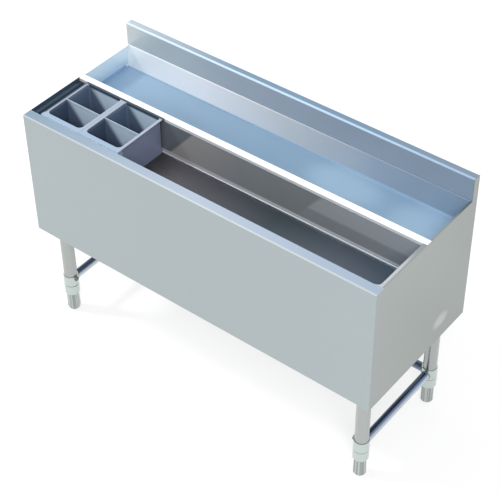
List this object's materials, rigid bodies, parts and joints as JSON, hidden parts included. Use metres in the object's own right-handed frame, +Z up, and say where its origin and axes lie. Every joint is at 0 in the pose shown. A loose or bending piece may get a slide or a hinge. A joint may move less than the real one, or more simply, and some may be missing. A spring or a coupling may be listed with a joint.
{
  "type": "underbar ice bin",
  "caption": "Stainless underbar ice bin: insulated coved bin under a recessed bottle deck, low backsplash, lift-out bottle wells at the left, tubular legs with levelling feet.",
  "frame": {"origin": "on the floor, under the middle of the casing's footprint", "axes": "+Z up, +X to the right along the bin's length, +Y from the bartender's side to the wall"},
  "size_m": [1.2192, 0.476, 0.8565],
  "materials": {
    "casing_steel": "satin",
    "deck_steel": "satin",
    "liner_steel": "satin",
    "well_steel": "satin",
    "leg_steel": "satin",
    "rail_steel": "satin",
    "foot_steel": "satin",
    "galvanised_steel": "matte",
    "screw_steel": "satin",
    "drain_chrome": "polished",
    "drain_brass": "satin",
    "black_rubber": "matte",
    "grey_plastic": "matte",
    "insulation": "matte"
  },
  "bodies": {
    "casing": {"front_panel": "casing_steel", "left_end_panel": "casing_steel", "right_end_panel": "casing_steel", "back_panel": "casing_steel", "bottom_panel": "casing_steel", "backsplash": "casing_steel", "deck_pan": "deck_steel", "deck_apron": "deck_steel", "deck_stiffener": "deck_steel", "liner_wrapper": "liner_steel", "liner_left_end": "liner_steel", "liner_right_end": "liner_steel", "front_insulation": "insulation", "rear_insulation": "insulation", "left_insulation": "insulation", "right_insulation": "insulation", "bottom_insulation": "insulation", "front_well_ledge": "liner_steel", "rear_well_ledge": "liner_steel", "left_base_channel": "galvanised_steel", "left_side_rail": "rail_steel", "right_base_channel": "galvanised_steel", "right_side_rail": "rail_steel", "rear_rail": "rail_steel", "drain_body": "drain_chrome", "drain_tailpiece": "drain_chrome", "drain_locknut": "drain_brass", "drain_gasket": "black_rubber", "tailpiece_grommet": "black_rubber", "leg_set_screws": "screw_steel", "socket_bolts": "screw_steel", "socket_nuts": "screw_steel", "sleeve_plugs": "grey_plastic", "leg_sleeves": "leg_steel", "front_left_leg_socket": "galvanised_steel", "front_left_leg": "leg_steel", "front_left_foot_bush": "foot_steel", "front_right_leg_socket": "galvanised_steel", "front_right_leg": "leg_steel", "front_right_foot_bush": "foot_steel", "rear_left_leg_socket": "galvanised_steel", "rear_left_leg": "leg_steel", "rear_left_foot_bush": "foot_steel", "rear_right_leg_socket": "galvanised_steel", "rear_right_leg": "leg_steel", "rear_right_foot_bush": "foot_steel"},
    "left_well": {"left_bottle_well": "well_steel", "left_well_divider": "well_steel"},
    "right_well": {"right_bottle_well": "well_steel", "right_well_divider": "well_steel"},
    "strainer": {"drain_strainer": "drain_chrome"},
    "front_left_screw": {"front_left_foot_stud": "screw_steel"},
    "front_left_foot": {"front_left_foot": "foot_steel"},
    "front_right_screw": {"front_right_foot_stud": "screw_steel"},
    "front_right_foot": {"front_right_foot": "foot_steel"},
    "rear_left_screw": {"rear_left_foot_stud": "screw_steel"},
    "rear_left_foot": {"rear_left_foot": "foot_steel"},
    "rear_right_screw": {"rear_right_foot_stud": "screw_steel"},
    "rear_right_foot": {"rear_right_foot": "foot_steel"}
  },
  "joints": [
    {"name": "left_well_lift", "type": "slide", "parent": "casing", "child": "left_well", "axis": [0, 0, 1], "range_m": [0, 0.21]},
    {"name": "right_well_lift", "type": "slide", "parent": "casing", "child": "right_well", "axis": [0, 0, 1], "range_m": [0, 0.21]},
    {"name": "strainer_lift", "type": "slide", "parent": "casing", "child": "strainer", "axis": [0, 0, 1], "range_m": [0, 0.42]},
    {"name": "front_left_foot_travel", "type": "slide", "parent": "casing", "child": "front_left_screw", "axis": [0, 0, -1], "range_m": [0, 0.025]},
    {"name": "front_left_foot_turn", "type": "hinge", "parent": "front_left_screw", "child": "front_left_foot", "pos_m": [-0.5576, -0.179, 0.04], "axis": [0, 0, -1], "range_deg": [0, 3897]},
    {"name": "front_right_foot_travel", "type": "slide", "parent": "casing", "child": "front_right_screw", "axis": [0, 0, -1], "range_m": [0, 0.025]},
    {"name": "front_right_foot_turn", "type": "hinge", "parent": "front_right_screw", "child": "front_right_foot", "pos_m": [0.5576, -0.179, 0.04], "axis": [0, 0, -1], "range_deg": [0, 3897]},
    {"name": "rear_left_foot_travel", "type": "slide", "parent": "casing", "child": "rear_left_screw", "axis": [0, 0, -1], "range_m": [0, 0.025]},
    {"name": "rear_left_foot_turn", "type": "hinge", "parent": "rear_left_screw", "child": "rear_left_foot", "pos_m": [-0.5576, 0.174, 0.04], "axis": [0, 0, -1], "range_deg": [0, 3897]},
    {"name": "rear_right_foot_travel", "type": "slide", "parent": "casing", "child": "rear_right_screw", "axis": [0, 0, -1], "range_m": [0, 0.025]},
    {"name": "rear_right_foot_turn", "type": "hinge", "parent": "rear_right_screw", "child": "rear_right_foot", "pos_m": [0.5576, 0.174, 0.04], "axis": [0, 0, -1], "range_deg": [0, 3897]}
  ],
  "couplings": [
    {"joint": "front_left_foot_travel", "follows": "front_left_foot_turn", "m_per_rad": 0.00036749},
    {"joint": "front_right_foot_travel", "follows": "front_right_foot_turn", "m_per_rad": 0.00036749},
    {"joint": "rear_left_foot_travel", "follows": "rear_left_foot_turn", "m_per_rad": 0.00036749},
    {"joint": "rear_right_foot_travel", "follows": "rear_right_foot_turn", "m_per_rad": 0.00036749}
  ]
}
